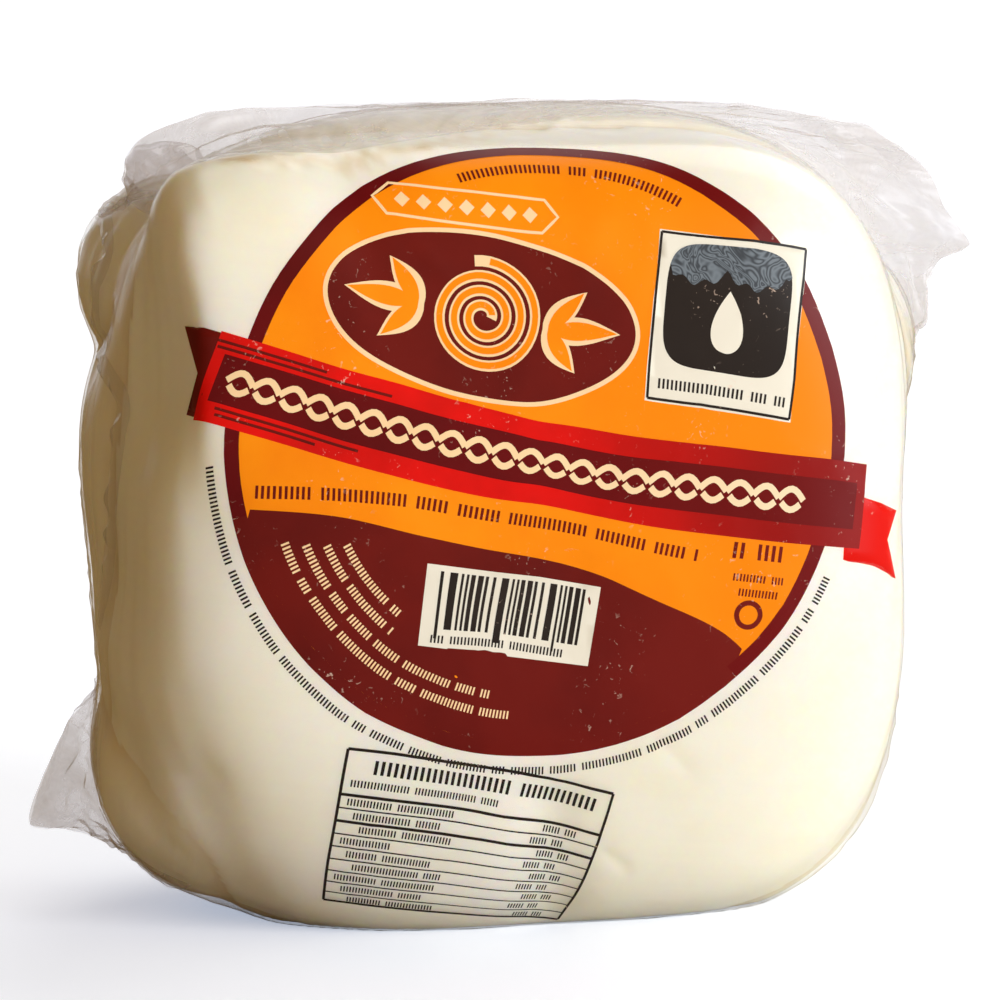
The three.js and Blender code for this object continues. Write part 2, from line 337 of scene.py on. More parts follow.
def filmMaterial(name):
    look = filmLook
    tint, milkiness, roughness, grazingGloss = look[name]
    material, tree = newMaterial(name)
    where = addNode(tree, "ShaderNodeTexCoord").outputs["Object"]
    streaks = addNode(tree, "ShaderNodeTexNoise", {
        "Vector": where, "Scale": 1 / (look["streak"] * mm), "Detail": 5, "Roughness": 0.6,
        "Distortion": 1.2})
    waves = addNode(tree, "ShaderNodeTexNoise", {
        "Vector": where, "Scale": 1 / (look["waves"] * mm), "Detail": 2})
    bump = addNode(tree, "ShaderNodeBump", {
        "Height": waves, "Strength": 0.3, "Distance": look["waveHigh"] * mm})
    through = addNode(tree, "ShaderNodeBsdfTransparent", {"Color": toLinear(tint)})
    shine = addNode(tree, "ShaderNodeBsdfAnisotropic", {
        "Color": (1, 1, 1, 1), "Roughness": roughness, "Normal": bump})
    white = addNode(tree, "ShaderNodeBsdfDiffuse", {"Color": toLinear(look["milk"]), "Normal": bump})
    glow = addNode(tree, "ShaderNodeBsdfTranslucent", {"Color": toLinear(look["milk"]), "Normal": bump})
    milk = addNode(tree, "ShaderNodeMixShader", {0: 0.5, 1: white, 2: glow})
    share = addNode(tree, "ShaderNodeMapRange", {
        "Value": streaks, "From Min": 0.35, "From Max": 0.75,
        "To Min": milkiness * 0.4, "To Max": milkiness * 1.9})
    body = addNode(tree, "ShaderNodeMixShader", {0: share, 1: through, 2: milk})
    # the same gloss from both sides, because the film is too thin to trap light
    facing = addNode(tree, "ShaderNodeLayerWeight", {"Blend": 0.5, "Normal": bump}).outputs["Facing"]
    grazing = addNode(tree, "ShaderNodeMath", {0: facing, 1: 5.0}, operation="POWER")
    gloss = addNode(tree, "ShaderNodeMath", {
        0: grazing, 1: grazingGloss, 2: look["faceOnGloss"]}, operation="MULTIPLY_ADD")
    surface = addNode(tree, "ShaderNodeMixShader", {0: gloss, 1: body, 2: shine})
    addNode(tree, "ShaderNodeOutputMaterial", {"Surface": surface})
    return material


# Solvent ink laid down by flexography on the outside of the film: thin and glossy, a little uneven in
# density, darker to one side where the run faded, with small specks where handling has worn it off.
inkLook = {
    "orange": ("#fe9306", "#f78502", "#fb8a02"),  # full, thin, and at the faded end
    "maroon": ("#6c120d", "#5c0c0a", "#741611"),
    "wine": ("#66030a", "#570206", "#6e0508"),
    "red": ("#e30b06", "#c20a06", "#8d0a08"),
    "scarlet": ("#d00f04", "#c00f05", "#d70b02"),
    "cream": ("#fbdcae", "#f4cf9c", "#fbe2c0"),
    "white": ("#efece0", "#e6e2d4", "#efece0"),
    "black": ("#231c1a", "#2f2724", "#231c1a"),
    "sheen": ("#3f454d", "#737e89", "#59626c"),  # painted reflection: the film's blue-grey sheen over black, in fine swirls
    "bare": "#f3d9c8",  # where the ink is worn
    "patch": 14,  # mm, as are the next two and the swirl
    "speck": 0.9,
    "speckPatch": 13,
    "speckShow": 0.55,
    "swirl": 6,
    "swirlTurns": 55.0,
    "fade": (-0.01, 0.045),  # m from the middle of the pack, where the third colour comes in
}


def inkMaterial(colour):
    look = inkLook
    full, thin, faded = (toLinear(c) for c in look[colour])
    material, tree = newMaterial("printingInk" + colour.capitalize())
    where = addNode(tree, "ShaderNodeTexCoord").outputs["Object"]
    patches = addNode(tree, "ShaderNodeTexNoise", {
        "Vector": where, "Scale": 1 / (look["patch"] * mm), "Detail": 4})
    uneven = addNode(tree, "ShaderNodeMapRange", {
        "Value": patches, "From Min": 0.4, "From Max": 0.7, "To Max": 0.9})
    tone = addNode(tree, "ShaderNodeMix", {0: uneven, 6: full, 7: thin}, data_type="RGBA").outputs[2]
    sideways = addNode(tree, "ShaderNodeSeparateXYZ", {0: where}).outputs["X"]
    low, high = look["fade"]
    fade = addNode(tree, "ShaderNodeMapRange", {
        "Value": sideways, "From Min": low, "From Max": high}, interpolation_type="SMOOTHSTEP")
    tone = addNode(tree, "ShaderNodeMix", {0: fade, 6: tone, 7: faded}, data_type="RGBA").outputs[2]
    specks = addNode(tree, "ShaderNodeTexNoise", {
        "Vector": where, "Scale": 1 / (look["speck"] * mm), "Detail": 2, "Distortion": 0.8})
    speck = addNode(tree, "ShaderNodeMapRange", {"Value": specks, "From Min": 0.66, "From Max": 0.72})
    handled = addNode(tree, "ShaderNodeTexNoise", {
        "Vector": where, "Scale": 1 / (look["speckPatch"] * mm), "Detail": 3})
    area = addNode(tree, "ShaderNodeMapRange", {
        "Value": handled, "From Min": 0.5, "From Max": 0.68, "To Max": look["speckShow"]})
    worn = addNode(tree, "ShaderNodeMath", {0: speck, 1: area}, operation="MULTIPLY")
    tone = addNode(tree, "ShaderNodeMix", {
        0: worn, 6: tone, 7: toLinear(look["bare"])}, data_type="RGBA").outputs[2]
    # painted reflection: swirled bands of the film's sheen
    if colour == "sheen":
        swirl = addNode(tree, "ShaderNodeTexNoise", {
            "Vector": where, "Scale": 1 / (look["swirl"] * mm), "Detail": 1, "Distortion": 2.2})
        turns = addNode(tree, "ShaderNodeMath", {0: swirl, 1: look["swirlTurns"]}, operation="MULTIPLY")
        bands = addNode(tree, "ShaderNodeMath", {0: turns}, operation="SINE")
        share = addNode(tree, "ShaderNodeMapRange", {"Value": bands, "From Min": -1.0})
        tone = addNode(tree, "ShaderNodeMix", {0: share, 6: full, 7: thin}, data_type="RGBA").outputs[2]
    surface = addNode(tree, "ShaderNodeBsdfPrincipled", {
        "Base Color": tone, "Roughness": 0.32, "IOR": 1.5, "Specular IOR Level": 0.15})
    addNode(tree, "ShaderNodeOutputMaterial", {"Surface": surface})
    return material


# The top end seal: outline of its rim, and the lines on the ball where its two layers start. It comes before
# the cheese, which has a line of painted shade along its front line.
topSeal = {
    "outline": [
        (-55.5, 53), (-58.8, 57), (-56.8, 62), (-46.5, 66.2), (-28, 67.0), (-8, 67.2), (16, 67.2), (36, 66.6),
        (48, 65), (60.4, 62.4), (67, 58.6), (72, 54.6), (74.6, 49), (78.4, 43), (74.2, 40.4), (71.9, 36),
        (71, 31), (63, 26),
    ],
    "rootTurns": (142, 135, 128, 116, 102, 88, 74, 60, 48, 36, 26, 20),  # degrees round the rim
    "frontRoot": (98, 88, 75, 70, 74, 78, 83, 84, 82, 88, 94, 98),  # degrees back from straight ahead
    "backRoot": (110, 112, 114, 114, 112, 108, 106, 104, 104, 104, 105, 106),
    "depth": -3,
    "lean": 5,
    "ripple": (1.4, 5),  # how far the rim sways, how often
    "along": 300,
    "out": 44,
    "pleats": 0.4,
    "facets": 0.15,
    "folds": 0.8,
}

cheese = {
    "steps": 118,
    "underFilm": 0.2,
    "bridge": 1.3,
    "grooveDeep": 0.5,
    "grooveWide": 1.6,
    "grooveFade": (-0.42, -0.12),  # no groove shows on the front face
    # how far the painted shade in the grooves goes towards the groove colour
    "grooveShadeTone": 0.55,
    "ridge": 0.2,  # threads that stand up along the ribbon
    "ridgeSize": (22, 2.6, 1),
    "lean": 0.12,  # how far the threads of the front face lean
}

# painted shade: a fine brown line, notched by the pleats over it, where the loose film of the top seal leaves
# the face
shadeLine = {
    "below": 2.2,
    "wide": 1.5,
    "notch": 1.7,
    "pitch": 3.6,  # degrees round the rim, as are start and end
    "start": (84, 104),
    "end": (132, 140),
    "tone": 1.3,
    "most": 1.6,
}


# how far along and across its turn of ribbon each point lies, in mm, and how much the threads show there
def ribbonCoordinates(directions, surfaces):
    best = surfaces.argmax(0)
    point = directions * surfaces.max(0)[:, None]
    x, y, z = point.T
    angle = np.arctan2(z, x)
    lanes = [(x, z + cheese["lean"] * x, 0.12)]  # along, across and show, for the slab and each turn and loop
    for place, _, _, wander, phase in ball["rimTurns"]:
        lanes.append((angle * halfWidth, y - place - wander * np.sin(2 * angle + phase), 0.75))
    for turn, _, _, _ in ball["backTurns"]:
        turn = math.radians(turn)
        lanes.append((-x * math.sin(turn) + z * math.cos(turn), x * math.cos(turn) + z * math.sin(turn), 1))
    for (atX, atY, atZ), _ in ball["loops"]:
        lanes.append((np.arctan2(z - atZ, y - atY) * 20, x - atX, 0.35))
    ribbon, show = np.zeros((len(point), 3)), np.zeros(len(point))
    for number, (along, across, laneShow) in enumerate(lanes):
        here = best == number
        ribbon[here] = np.column_stack([along, across, np.full(len(point), 30 * number)])[here]
        show[here] = laneShow
    return ribbon, show


# how dark the painted shade line is at each point
def shadeLineTone(directions, point):
    turn = np.degrees(np.arctan2(directions[:, 2], directions[:, 0]))
    edgeLine = -np.cos(np.radians(np.interp(turn, topSeal["rootTurns"][::-1], topSeal["frontRoot"][::-1])))
    notches = shadeLine["notch"] * pleat(turn / shadeLine["pitch"] + noiseAt(point, 9, 12))
    away = (directions[:, 1] - edgeLine) * halfHeight + shadeLine["below"] + notches
    shade = np.exp(-(away / shadeLine["wide"]) ** 2)
    shade *= smoothStep(turn, *shadeLine["start"]) * (1 - smoothStep(turn, *shadeLine["end"]))
    return shadeLine["tone"] * shade * (0.5 + smoothStep(noiseAt(point, 7, 13), -0.3, 0.3))


def buildCheese():
    directions, quads = blownCube(cheese["steps"])
    surfaces = ribbonSurfaces(directions)
    ribbon, show = ribbonCoordinates(directions, surfaces)
    order = np.sort(surfaces, axis=0)
    gap = order[-1] - order[-2]
    # the groove mask dents the skin and also sets its painted shade
    groove = np.exp(-(gap / cheese["grooveWide"]) ** 2) * (surfaces.argmax(0) > 0)
    groove *= smoothStep(directions[:, 1], *cheese["grooveFade"])
    radius = skinRadius(directions, cheese["bridge"], surfaces)
    radius += cheese["ridge"] * show * noiseAt(ribbon, cheese["ridgeSize"], 3)
    radius -= cheese["grooveDeep"] * groove + cheese["underFilm"]
    point = directions * radius[:, None] + middle
    point[:, 2] = np.maximum(point[:, 2], cheese["underFilm"])
    piece = addPiece("cheeseBall", point, quads.tolist(), cheeseMaterial())
    # painted shade, in the grooves and in the line under the top seal
    dark = np.minimum(groove + shadeLineTone(directions, point), shadeLine["most"])
    layers = {
        "ribbon": ("FLOAT_VECTOR", "vector", ribbon),
        "paintedShade": ("FLOAT", "value", cheese["grooveShadeTone"] * dark),
        "threadShow": ("FLOAT", "value", show),
    }
    for name, (kind, field, values) in layers.items():
        layer = piece.data.attributes.new(name, kind, "POINT")
        layer.data.foreach_set(field, np.asarray(values, dtype=np.float32).ravel())


buildCheese()
print("cheese built")

# the film that clings to the ball
film = {
    "steps": 108,
    "bridge": 1.6,
    "girthRadius": 62,  # turns the angle round the rim into mm along it
    # pleats: mm from one to the next, high, how far out on the face, and degrees round the rim
    "topPleats": {"pitch": 4.2, "high": 0.35, "reach": (0.9, 0.95), "start": (101, 109), "end": (128, 136)},
    "sidePleats": {"pitch": 6.8, "high": 0.35, "reach": (0.93, 0.99)},
    "creases": ((26, 8, 1.0), (15, 9, 0.6)),  # size, seed, share
    "creaseHigh": 0.16,
    "creaseThin": 22,
}


# height of the film over the cheese's smooth skin, in mm, from pleats at the rim and stray creases
def filmWrinkles(directions):
    x, y, z = directions.T
    angle = np.arctan2(z, x)
    turn = np.degrees(angle)
    point = directions * meanRadius
    reach = np.hypot(x, z)  # 0 in the middle of a face, 1 at the rim
    rimWalk = angle * film["girthRadius"]
    spec = film["topPleats"]
    top = smoothStep(reach, *spec["reach"]) * (y < 0) * smoothStep(turn, *spec["start"])
    top *= 1 - smoothStep(turn, *spec["end"])
    heights = spec["high"] * top * pleat(rimWalk / spec["pitch"] + 0.9 * noiseAt(point, 13, 5)) ** 1.6
    spec = film["sidePleats"]
    rim = smoothStep(reach, *spec["reach"])
    sides = pleat(rimWalk / spec["pitch"] + 1.3 * noiseAt(point, 9, 6)) ** 2
    heights += spec["high"] * rim * sides * smoothStep(noiseAt(point, 22, 7), -0.25, 0.3)
    for size, seed, share in film["creases"]:
        lines = (1 - np.abs(noiseAt(point, size, seed))) ** film["creaseThin"]
        heights += film["creaseHigh"] * share * lines * (0.75 + 0.25 * rim)
    return heights


# a point of the film, sunk below its outer face by depth mm
def filmPoint(directions, depth=0.0):
    radius = skinRadius(directions, film["bridge"]) + filmWrinkles(directions) - depth
    point = directions * radius[:, None] + middle
    point[:, 2] = np.maximum(point[:, 2], depth)
    return point


def buildClingFilm():
    directions, quads = blownCube(film["steps"])
    addPiece("filmOnBall", filmPoint(directions), quads.tolist(), filmMaterial("shrinkFilmClinging"))


buildClingFilm()
print("film on the ball built")

# the print, drawn flat in mm and wrapped on to the film
label = {
    "anchor": (-1.6, -37.3, 16.5),  # from the middle of the ball; the drawing's zero
    "centre": (0.6, 1.3),
    "radius": 48.6,
    "ringWide": 2.3,
    "tilt": -11,
    "spacing": 1.5,
    "layerGap": 0.07,
    "wave": 0.3,  # how far the puckered film has pulled the print out of line
    "waveSize": 13,
}

# the table by which the print is wrapped: its steps are degrees round the anchor and mm away from it
wrap = {
    "turn": 3,
    "step": 0.5,
    "reach": 110,
    "bridge": 2.5,
    "furthest": 120,  # degrees over the ball
    "samples": 240,
}


# a table of the way over the slab from the anchor, so that the print keeps its lengths as real film does
def wrapTable():
    out = unit(np.array(label["anchor"]))
    right = unit(np.array([1.0, 0, 0]) - out * out[0])
    up = np.cross(out, right)
    angles = np.linspace(0, math.radians(wrap["furthest"]), wrap["samples"])
    lengths = np.arange(0, wrap["reach"] + wrap["step"], wrap["step"])
    table = []
    for turn in np.radians(np.arange(0, 361, wrap["turn"])):
        side = math.cos(turn) * right + math.sin(turn) * up
        directions = np.cos(angles)[:, None] * out + np.sin(angles)[:, None] * side
        point = directions * skinRadius(directions, wrap["bridge"])[:, None]
        table.append(np.interp(lengths, walkedAlong(point), angles))
    return out, right, up, np.array(table)


wrapOut, wrapRight, wrapUp, wrapAngles = wrapTable()


def wrapDirections(flat):
    u, v = flat.T
    turn = np.arctan2(v, u) % (2 * math.pi)
    row = np.degrees(turn) / wrap["turn"]
    column = np.minimum(np.hypot(u, v) / wrap["step"], wrapAngles.shape[1] - 1.1)
    i, j = row.astype(int), column.astype(int)
    fi, fj = row - i, column - j
    below = wrapAngles[i, j] * (1 - fj) + wrapAngles[i, j + 1] * fj
    above = wrapAngles[i + 1, j] * (1 - fj) + wrapAngles[i + 1, j + 1] * fj
    angle = (below * (1 - fi) + above * fi)[:, None]
    side = np.cos(turn)[:, None] * wrapRight + np.sin(turn)[:, None] * wrapUp
    return np.cos(angle) * wrapOut + np.sin(angle) * side


prints = {}  # colour name to its flat points, their layers and its faces


def addPrint(colour, layer, flat, faces):
    store = prints.setdefault(colour, {"flat": [], "layer": [], "faces": []})
    start = len(store["flat"])
    store["flat"].extend(np.asarray(flat).tolist())
    store["layer"].extend([layer] * len(flat))
    store["faces"].extend([[start + i for i in face] for face in faces])


# a field of ink inside an outline
def fillOutline(colour, layer, outline):
    outline = np.asarray(outline)
    step = label["spacing"]
    low, high = outline.min(0), outline.max(0)
    xs, ys = np.arange(low[0] + step / 2, high[0], step), np.arange(low[1] + step / 2, high[1], step)
    grid = np.array([(x, y) for x in xs for y in ys]).reshape(-1, 2)
    points = [Vector(p) for p in np.concatenate([outline, grid]).tolist()]
    filled = geometry.delaunay_2d_cdt(points, [], [list(range(len(outline)))], 1, 1e-4)
    addPrint(colour, layer, [tuple(p) for p in filled[0]], filled[2])


# a line of ink along a path, given as points; its width may be split so that it bends with the film
def strokePath(colour, layer, path, wide, closed=False):
    path = np.asarray(path, dtype=float)
    if closed:
        path = np.vstack([path, path[:1]])
    parts = [path[:1]]
    for a, b in zip(path[:-1], path[1:]):
        count = max(1, math.ceil(np.linalg.norm(b - a) / label["spacing"]))
        parts.append(a + (b - a) * np.linspace(0, 1, count + 1)[1:, None])
    path = np.concatenate(parts)
    ahead = np.gradient(path, axis=0)
    if closed:
        ahead[0] = ahead[-1] = path[1] - path[-2]
    ahead = unit(ahead)
    left = np.column_stack([-ahead[:, 1], ahead[:, 0]])
    across = max(1, math.ceil(wide / label["spacing"]))
    offsets = np.linspace(-wide / 2, wide / 2, across + 1)
    flat = (path[:, None, :] + left[:, None, :] * offsets[None, :, None]).reshape(-1, 2)
    addPrint(colour, layer, flat, gridFaces(len(path), across + 1).tolist())


# straight lines from corner to corner
def strokeBox(colour, layer, corners, wide):
    for a, b in zip(corners, np.roll(corners, -1, axis=0)):
        strokePath(colour, layer, [a, b], wide)


def turned(points, degrees, at=(0, 0)):
    turn = math.radians(degrees)
    matrix = np.array([[math.cos(turn), math.sin(turn)], [-math.sin(turn), math.cos(turn)]])
    return np.asarray(points) @ matrix + at


def rectangle(halfAcross, halfUp):
    return np.array([(-1, -1), (1, -1), (1, 1), (-1, 1)]) * (halfAcross, halfUp)


def ellipse(centre, radii, start=0, end=360, count=120):
    turn = np.radians(np.linspace(start, end, count, endpoint=abs(end - start) < 360))
    return np.column_stack([centre[0] + radii[0] * np.cos(turn), centre[1] + radii[1] * np.sin(turn)])


def arcPath(radius, start, end):
    return ellipse(label["centre"], (radius, radius), start, end, 90)


def placeAt(path, walked, distance):
    return np.array([np.interp(distance, walked, path[:, k]) for k in (0, 1)]).T


# a row of fine upright strokes in groups, which stands for small print and spells nothing
def strokeRow(colour, layer, path, tall, groups, pitch=0.34):
    path = np.asarray(path, dtype=float)
    walked = walkedAlong(path)
    place = 0.0
    for count in groups:
        for _ in range(2 * count):
            ends = np.array([place, place + pitch * 0.5 * tall])
            if ends[1] > walked[-1]:
                return
            strokePath(colour, layer, placeAt(path, walked, ends), 0.72 * tall)
            place += pitch * tall
        place += 0.5 * tall


# two strands that twist round each other along a path
def twistedCord(colour, layer, path, tall, wave, bold):
    ahead = unit(np.gradient(path, axis=0))
    walked = walkedAlong(path)
    for strand in range(2):
        for half in range(int(walked[-1] / wave) * 2):
            t = np.linspace(half, half + 1, 9)
            side = (-1) ** (half + strand)
            # the strand underneath is broken where it passes below the other one
            t = t[(t > half + 0.12) & (t < half + 0.88)] if side < 0 else t
            spot, forward = (placeAt(values, walked, t * wave / 2) for values in (path, ahead))
            normal = np.column_stack([-forward[:, 1], forward[:, 0]])
            sway = side * np.sin(math.pi * (t - half)) * (tall - bold) / 2
            strokePath(colour, layer, spot + normal * sway[:, None], bold)


disc = {
    "wineTurn": (-48, 190),  # degrees of the ring that are a deeper red; the rest is maroon
    "sweep": [(-52, -5), (-30, -8), (-8, -14), (12, -19.5), (31, -28), (46, -42)],  # top of the lower field
    # rows of small print: ink, layer, radius, start and end in degrees, height, strokes in each group
    "rows": [
        ("maroon", 1, 43.2, 106, 56, 2.3, (11, 2, 13)),
        ("cream", 2, 42.0, 197, 262, 1.75, (4, 2, 5, 9, 3, 8, 5, 7, 3, 6, 4, 9, 5)),
        ("cream", 2, 39.2, 199, 256, 1.75, (6, 3, 4, 4, 7, 3, 6, 8, 5, 4)),
        ("cream", 2, 36.4, 201, 227, 1.75, (5, 7, 3, 8, 5)),
        ("cream", 2, 33.6, 203, 226, 1.75, (9, 2, 5, 6)),
    ],
}


def drawDisc():
    radius, ring = label["radius"], label["ringWide"]
    wineStart, wineEnd = disc["wineTurn"]
    fillOutline("orange", 0, arcPath(radius - ring / 2, 0, 359)[:-1])
    strokePath("wine", 1, arcPath(radius - ring / 2, wineStart, wineEnd), ring)
    strokePath("maroon", 1, arcPath(radius - ring / 2, wineEnd, wineStart + 360), ring)
    # the lower field, under one plain sweep from ring to ring
    sweep = curveThrough(disc["sweep"], 70)
    fromCentre = sweep - label["centre"]
    fits = np.hypot(*fromCentre.T) < radius - ring
    ends = np.degrees(np.arctan2(*fromCentre[fits][[0, -1]].T[::-1]))
    fillOutline("maroon", 1, np.concatenate([sweep[fits], arcPath(radius - ring, ends[1], ends[0])[1:-1]]))
    for colour, layer, distance, start, end, tall, groups in disc["rows"]:
        strokeRow(colour, layer, arcPath(distance, start, end), tall, groups)


def leaf(root, tip, wide):
    root, tip = np.array(root), np.array(tip)
    side = np.array([root[1] - tip[1], tip[0] - root[0]]) / np.linalg.norm(tip - root)
    share = np.linspace(0, 1, 15)
    out = (wide * np.sin(math.pi * share ** 0.8) / 2)[:, None] * side
    spine = root + share[:, None] * (tip - root)
    return np.concatenate([spine + out, (spine - out)[-2:0:-1]])


# an oval with a coil of ribbon between two sprigs, and a strip with a row of diamonds over it
plaque = {
    "centre": (-8.5, 21.2),
    "half": (25.4, 12.6),
    "rim": 0.7,
    "coilStart": 1.2,
    "coilGrow": 0.36,  # mm for each radian
    "coilTurns": 3.3,
    "coilStretch": (1.06, 1),
    "coilWide": (1.7, 1.0),  # the ribbon, and the orange line along it
    "leafRoot": 9.9,
    "leaves": [((16.2, 6.3), 4.0), ((22.6, 0.4), 4.4), ((16.2, -6.2), 4.0)],  # tip, width
    "stripCentre": (-10.5, 38),
    "stripTilt": -7,
    "strip": [(-15, 0), (-12.6, 2.6), (12.6, 2.6), (15, 0), (12.6, -2.6), (-12.6, -2.6)],
    "stripLine": 0.45,
    "diamonds": np.linspace(-10.4, 10.4, 7),
    "diamondHalf": 1.25,
}


def drawPlaque():
    centre, tilt = plaque["centre"], label["tilt"]
    oval = turned(ellipse((0, 0), plaque["half"]), tilt, centre)
    fillOutline("maroon", 1, oval)
    strokePath("cream", 2, oval, plaque["rim"], closed=True)
    around = np.linspace(0, plaque["coilTurns"] * 2 * math.pi, 150)
    grow = plaque["coilStart"] + plaque["coilGrow"] * around
    coil = np.column_stack([grow * np.cos(around), grow * np.sin(around)]) * plaque["coilStretch"]
    ribbonWide, lineWide = plaque["coilWide"]
    strokePath("cream", 2, turned(coil, tilt, centre), ribbonWide)
    strokePath("orange", 3, turned(coil[3:-2], tilt, centre), lineWide)
    root = plaque["leafRoot"]
    for side in (-1, 1):
        for (tipX, tipY), wide in plaque["leaves"]:
            shape = leaf((side * root, 0), (side * tipX, tipY), wide)
            fillOutline("cream", 2, turned(shape, tilt, centre))
            inner = leaf((side * (root + 0.9), 0), (side * (tipX - 0.5), tipY * 0.96), wide - 1.5)
            fillOutline("orange", 3, turned(inner, tilt, centre))
    centre, tilt, half = plaque["stripCentre"], plaque["stripTilt"], plaque["diamondHalf"]
    strokePath("cream", 1, turned(plaque["strip"], tilt, centre), plaque["stripLine"], closed=True)
    for spot in turned([(across, 0) for across in plaque["diamonds"]], tilt, centre):
        fillOutline("cream", 1, spot + [(half, 0), (0, half), (-half, 0), (0, -half)])


# a red band with a dark stripe, a twisted cord along it, and a folded end behind it at each side
banner = {
    "span": (-51, 53),
    "curve": (-0.5, -0.2195, 0.001436),  # height, slope and bend of the middle line where across is -3
    "wide": 12.6,
    "stripe": 6.8,
    "leftEnd": [(3, -7.6), (-3.8, -4.6), (-1.4, 0.6), (-4.2, 8.2), (3, 5.4)],
    "rightEnd": [(-3, 2.2), (8.6, 0.2), (5.6, -4.6), (9.4, -10.4), (-3, -8)],
    "lines": [(4.4, 18), (-4.4, 15), (5.3, 12), (-5.3, 11)],  # thin ones at the left: mm up, last step
    "lineWide": 0.4,
    "cordTall": 3.9,
    "cordWave": 8.4,
    "cordBold": 0.95,
    "underLine": [(-43.5, -3.6), (-20, -5.8), (0, -10.4), (26, -15.4)],
    "underTall": 2.5,
    "underGroups": (5, 8, 3, 4, 8, 5, 3, 7, 2, 3),
}


def drawBanner():
    across = np.linspace(*banner["span"], 64)
    height, slope, bend = banner["curve"]
    path = np.column_stack([across, height + slope * (across + 3) + bend * (across + 3) ** 2])
    fillOutline("maroon", 1, path[0] + banner["leftEnd"])
    fillOutline("scarlet", 1, path[-1] + banner["rightEnd"])
    strokePath("red", 2, path, banner["wide"])
    strokePath("wine", 3, path[1:-1], banner["stripe"])
    for up, end in banner["lines"]:
        strokePath("maroon", 3, path[1:end] + (0, up), banner["lineWide"])
    twistedCord("cream", 4, path[2:-2], banner["cordTall"], banner["cordWave"], banner["cordBold"])
    under = curveThrough(banner["underLine"], 60)
    strokeRow("maroon", 1, under, banner["underTall"], banner["underGroups"])


# a white patch of plain bars on the dark field
bars = {
    "centre": (-5.0, -24.2),
    "half": (14.4, 6.3),
    "from": -12.2,
    "to": 12,
    "widths": [0.5, 0.9, 0.4, 1.2, 0.5, 0.7, 0.4],
    "foot": -3.4,
    "longFoot": -4.9,
    "top": 5.4,
    "row": [(-12.6, -5), (12.6, -5)],
}


def drawBars():
    centre, tilt, widths = bars["centre"], label["tilt"], bars["widths"]
    fillOutline("white", 2, turned(rectangle(*bars["half"]), tilt, centre))
    place = bars["from"]
    number = 0
    while place < bars["to"]:
        wide = widths[(number * 3) % 7]
        foot = bars["longFoot"] if number % 8 == 0 else bars["foot"]
        ends = [(place + wide / 2, foot), (place + wide / 2, bars["top"])]
        strokePath("black", 3, turned(ends, tilt, centre), wide)
        place += wide + widths[(number * 2 + 3) % 7] * 0.8
        number += 1
    strokeRow("black", 3, turned(bars["row"], tilt, centre), 1.7, (2, 8, 8))


# a pale panel with a dark rounded patch and a drop on it, and a painted reflection over the patch's top
panel = {
    "centre": (30.4, 18.5),
    "tilt": -9,
    "half": (11.7, 13.1),
    "frame": 0.97,  # share of the panel inside the frame's line
    "line": 0.4,
    "patchAt": (0, 1.9),
    "patchHalf": (9.8, 9.6),
    "patchRound": 0.45,
    "dropAt": (0, -0.2),
    "dropHalf": (3.3, 4.7),
    "sheenTop": 7.4,  # height above which the black patch carries the painted reflection
    "sheenWave": 9.2,
    "sheenDeep": 2.1,
    "row": [(-9.8, -10.4), (10.4, -10.4)],
}


def drawPanel():
    centre, tilt, wide = panel["centre"], panel["tilt"], panel["patchHalf"][0]
    corners = rectangle(*panel["half"])
    fillOutline("white", 2, turned(corners, tilt, centre))
    strokeBox("black", 3, turned(corners * panel["frame"], tilt, centre), panel["line"])
    turn = np.radians(np.arange(0, 360, 5))
    circle = np.column_stack([np.cos(turn), np.sin(turn)])
    patch = np.sign(circle) * np.abs(circle) ** panel["patchRound"] * panel["patchHalf"] + panel["patchAt"]
    fillOutline("black", 3, turned(patch, tilt, centre))
    drop = np.column_stack([np.sin(turn) * np.sin(turn / 2), np.cos(turn)]) * panel["dropHalf"]
    fillOutline("white", 4, turned(drop + panel["dropAt"], tilt, centre))
    # painted reflection over the top of the black patch, with a scalloped lower edge
    sheenTop = patch[patch[:, 1] > panel["sheenTop"]]
    across = np.linspace(sheenTop[-1, 0], sheenTop[0, 0], 40)[1:-1]
    scallop = np.abs(np.sin(math.pi * (across + wide) / panel["sheenWave"])) ** 0.7
    below = panel["sheenTop"] - panel["sheenDeep"] * scallop - 0.5 * np.sin(across * 1.9)
    fillOutline("sheen", 4, turned(np.concatenate([sheenTop, np.column_stack([across, below])]), tilt, centre))
    strokeRow("black", 3, turned(panel["row"], tilt, centre), 2.0, (10, 2, 5))


# plain marks at the right of the disc: rows of strokes (start, height, groups) and a small ring
marks = {
    "tilt": -6,
    "long": 13,
    "rows": [
        ((30.0, -10.6), 2.0, (5, 4)), ((31.4, -14.6), 3.4, (1, 2)),
        ((31.6, -18.8), 1.6, (5, 2)), ((32.6, -21.2), 1.6, (6,)),
    ],
    "ringAt": (34.4, -24.8),
    "ringRadius": 1.9,
    "ringWide": 0.8,
}


def drawMarks():
    for at, tall, groups in marks["rows"]:
        strokeRow("maroon", 1, turned([(0, 0), (marks["long"], 0)], marks["tilt"], at), tall, groups)
    ring = ellipse(marks["ringAt"], (marks["ringRadius"],) * 2, count=40)
    strokePath("maroon", 1, ring, marks["ringWide"], closed=True)


